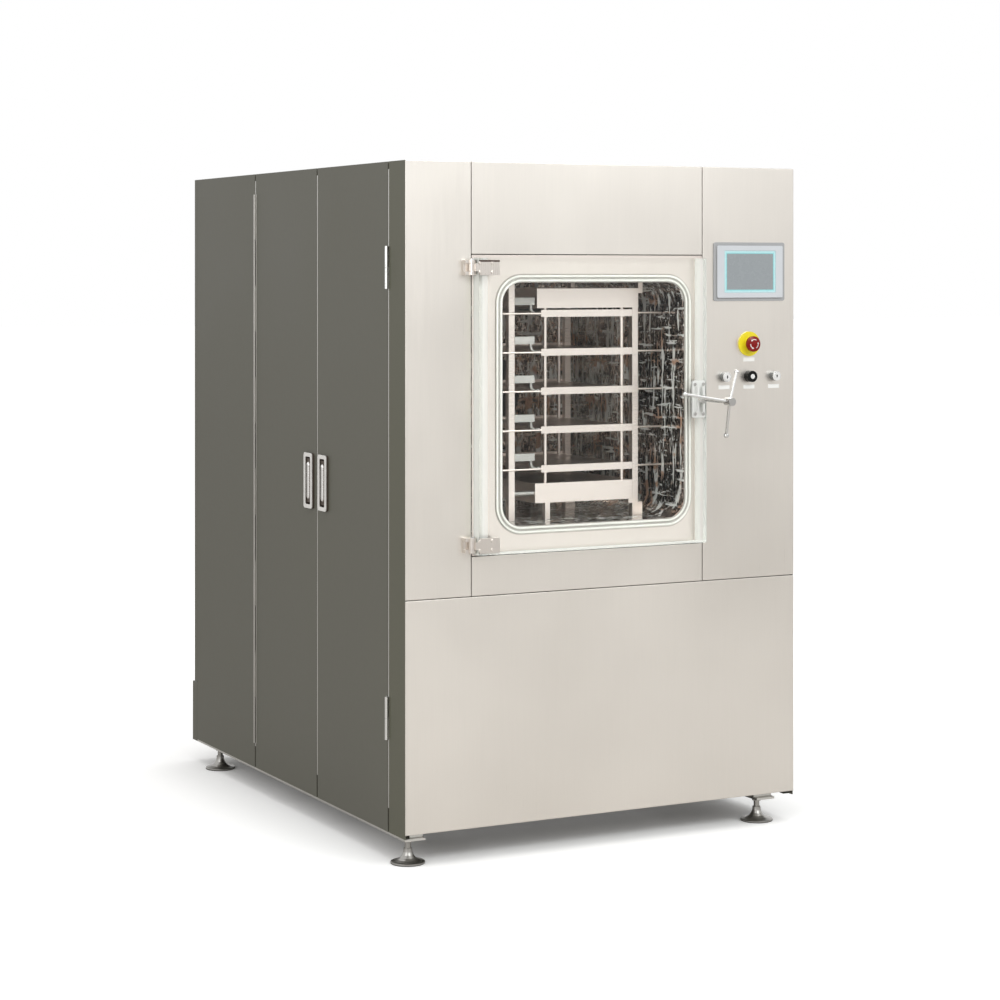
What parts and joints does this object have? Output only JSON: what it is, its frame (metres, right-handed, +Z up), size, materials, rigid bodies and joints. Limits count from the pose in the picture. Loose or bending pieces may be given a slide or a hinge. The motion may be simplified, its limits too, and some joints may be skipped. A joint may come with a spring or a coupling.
{
  "type": "freeze dryer",
  "caption": "Floor-standing production freeze dryer: shelf chamber behind a clear hinged door, star-handle clamp, control column, side service doors and vacuum and cooling plant.",
  "frame": {"origin": "on the floor, under the middle of the whole object with its door clamp and rear cover", "axes": "+Z up, -Y towards the operator at the chamber door, +X to the operator's right"},
  "size_m": [1.215, 1.783, 1.825],
  "materials": {
    "front_steel": "satin brushed stainless",
    "foot_steel": "polished stainless, darker than the trim",
    "hinge_steel": "fine ground stainless",
    "side_paint": "dark warm grey paint, satin",
    "frame_steel": "welded stainless tube",
    "chamber_steel": "polished stainless",
    "shelf_steel": "fine ground stainless",
    "chrome_trim": "bright chrome",
    "clear_acrylic": "clear acrylic, polished",
    "gasket_silicone": "pale silicone",
    "foam": "rigid foam",
    "white_metal": "white powder coat",
    "panel_housing": "pale blue grey moulding",
    "screen": "unlit screen with a cyan border",
    "stop_yellow": "safety yellow",
    "stop_red": "signal red",
    "switch_silver": "satin chrome",
    "switch_black": "black",
    "label_white": "blank white plate",
    "hose_braid": "braided stainless",
    "trap_copper": "stainless tube",
    "plant_dark": "dark enamel",
    "fin_aluminium": "thin fins",
    "shroud": "black sheet",
    "fan_black": "black blades",
    "pump_blue": "blue grey enamel",
    "plate_zinc": "zinc plated"
  },
  "bodies": {
    "cabinet": {"base_frame": "frame_steel", "upright_frame": "frame_steel", "levelling_feet": "foot_steel", "foot_nuts": "foot_steel", "left_front_panel": "front_steel", "header_panel": "front_steel", "control_panel": "front_steel", "sill_panel": "front_steel", "lower_front_panel": "front_steel", "left_corner_strip": "side_paint", "left_rear_panel": "side_paint", "right_corner_strip": "side_paint", "right_front_panel": "side_paint", "right_rear_panel": "side_paint", "roof_panel": "side_paint", "rear_panel": "side_paint", "rear_base_cover": "side_paint", "side_hinge_pins": "chrome_trim", "long_hinge_fixed": "frame_steel", "chamber_vessel": "chamber_steel", "chamber_gasket": "gasket_silicone", "chamber_foam": "foam", "door_hinge_brackets": "hinge_steel", "door_hinge_pins": "chrome_trim", "touch_panel": "panel_housing", "touch_screen": "screen", "estop_body": "stop_yellow", "key_switch_bodies": "switch_silver", "selector_body": "switch_black", "label_plates": "label_white", "product_shelves": "shelf_steel", "stack_plates": "shelf_steel", "stack_posts": "shelf_steel", "shelf_hoses": "hose_braid", "cold_trap": "chamber_steel", "trap_coil": "trap_copper", "compressors": "plant_dark", "air_condenser": "fin_aluminium", "fan_shroud": "shroud", "vacuum_pump": "pump_blue", "electrics_plate": "plate_zinc"},
    "chamber_door": {"chamber_door": "clear_acrylic", "door_hinge_blocks": "hinge_steel", "clamp_bracket": "white_metal", "clamp_bracket_screws": "chrome_trim"},
    "clamp_collar": {"clamp_collar": "chrome_trim"},
    "clamp_handle": {"clamp_handle": "chrome_trim"},
    "side_door_front": {"side_door_front": "side_paint", "side_hinge_sleeves": "chrome_trim", "latch_dish_front": "chrome_trim"},
    "latch_lever_front": {"latch_lever_front": "chrome_trim"},
    "side_door_rear": {"side_door_rear": "side_paint", "long_hinge_leaf": "frame_steel", "latch_dish_rear": "chrome_trim"},
    "latch_lever_rear": {"latch_lever_rear": "chrome_trim"},
    "estop_button": {"estop_button": "stop_red"},
    "key_barrel_left": {"key_barrel_left": "switch_silver"},
    "key_barrel_right": {"key_barrel_right": "switch_silver"},
    "selector_rotor": {"selector_rotor": "switch_silver"},
    "condenser_fan": {"condenser_fan": "fan_black"}
  },
  "joints": [
    {"name": "chamber_door_swing", "type": "hinge", "parent": "cabinet", "child": "chamber_door", "pos_m": [-0.417, -0.7015, 1.185], "axis": [0, 0, -1], "range_deg": [0, 110]},
    {"name": "clamp_slide", "type": "slide", "parent": "chamber_door", "child": "clamp_collar", "axis": [0, -1, 0], "range_m": [0, 0.012]},
    {"name": "clamp_spin", "type": "hinge", "parent": "clamp_collar", "child": "clamp_handle", "pos_m": [0.263, -0.7815, 1.19], "axis": [0, -1, 0], "range_deg": [0, 1080]},
    {"name": "side_door_front_swing", "type": "hinge", "parent": "cabinet", "child": "side_door_front", "pos_m": [-0.605, -0.5765, 0.952], "axis": [0, 0, 1], "range_deg": [0, 110]},
    {"name": "side_door_rear_swing", "type": "hinge", "parent": "cabinet", "child": "side_door_rear", "pos_m": [-0.6029, 0.3605, 0.952], "axis": [0, 0, -1], "range_deg": [0, 110]},
    {"name": "latch_front_lift", "type": "hinge", "parent": "side_door_front", "child": "latch_lever_front", "pos_m": [-0.6, -0.1535, 1.0055], "axis": [0, 1, 0], "range_deg": [0, 35]},
    {"name": "latch_rear_lift", "type": "hinge", "parent": "side_door_rear", "child": "latch_lever_rear", "pos_m": [-0.6, -0.0535, 1.0055], "axis": [0, 1, 0], "range_deg": [0, 35]},
    {"name": "estop_push", "type": "slide", "parent": "cabinet", "child": "estop_button", "axis": [0, 1, 0], "range_m": [0, 0.005], "stiffness_N_per_m": 2000},
    {"name": "key_turn_left", "type": "hinge", "parent": "cabinet", "child": "key_barrel_left", "pos_m": [0.37, -0.6985, 1.247], "axis": [0, 1, 0], "range_deg": [0, 90]},
    {"name": "key_turn_right", "type": "hinge", "parent": "cabinet", "child": "key_barrel_right", "pos_m": [0.533, -0.6985, 1.247], "axis": [0, 1, 0], "range_deg": [0, 90]},
    {"name": "selector_turn", "type": "hinge", "parent": "cabinet", "child": "selector_rotor", "pos_m": [0.4515, -0.7015, 1.247], "axis": [0, 1, 0], "range_deg": [0, 90]},
    {"name": "fan_spin", "type": "hinge", "parent": "cabinet", "child": "condenser_fan", "pos_m": [0, 0.7635, 0.395], "axis": [0, 1, 0], "continuous": true}
  ],
  "couplings": [
    {"joint": "clamp_slide", "follows": "clamp_spin", "m_per_rad": 0.00063662}
  ]
}
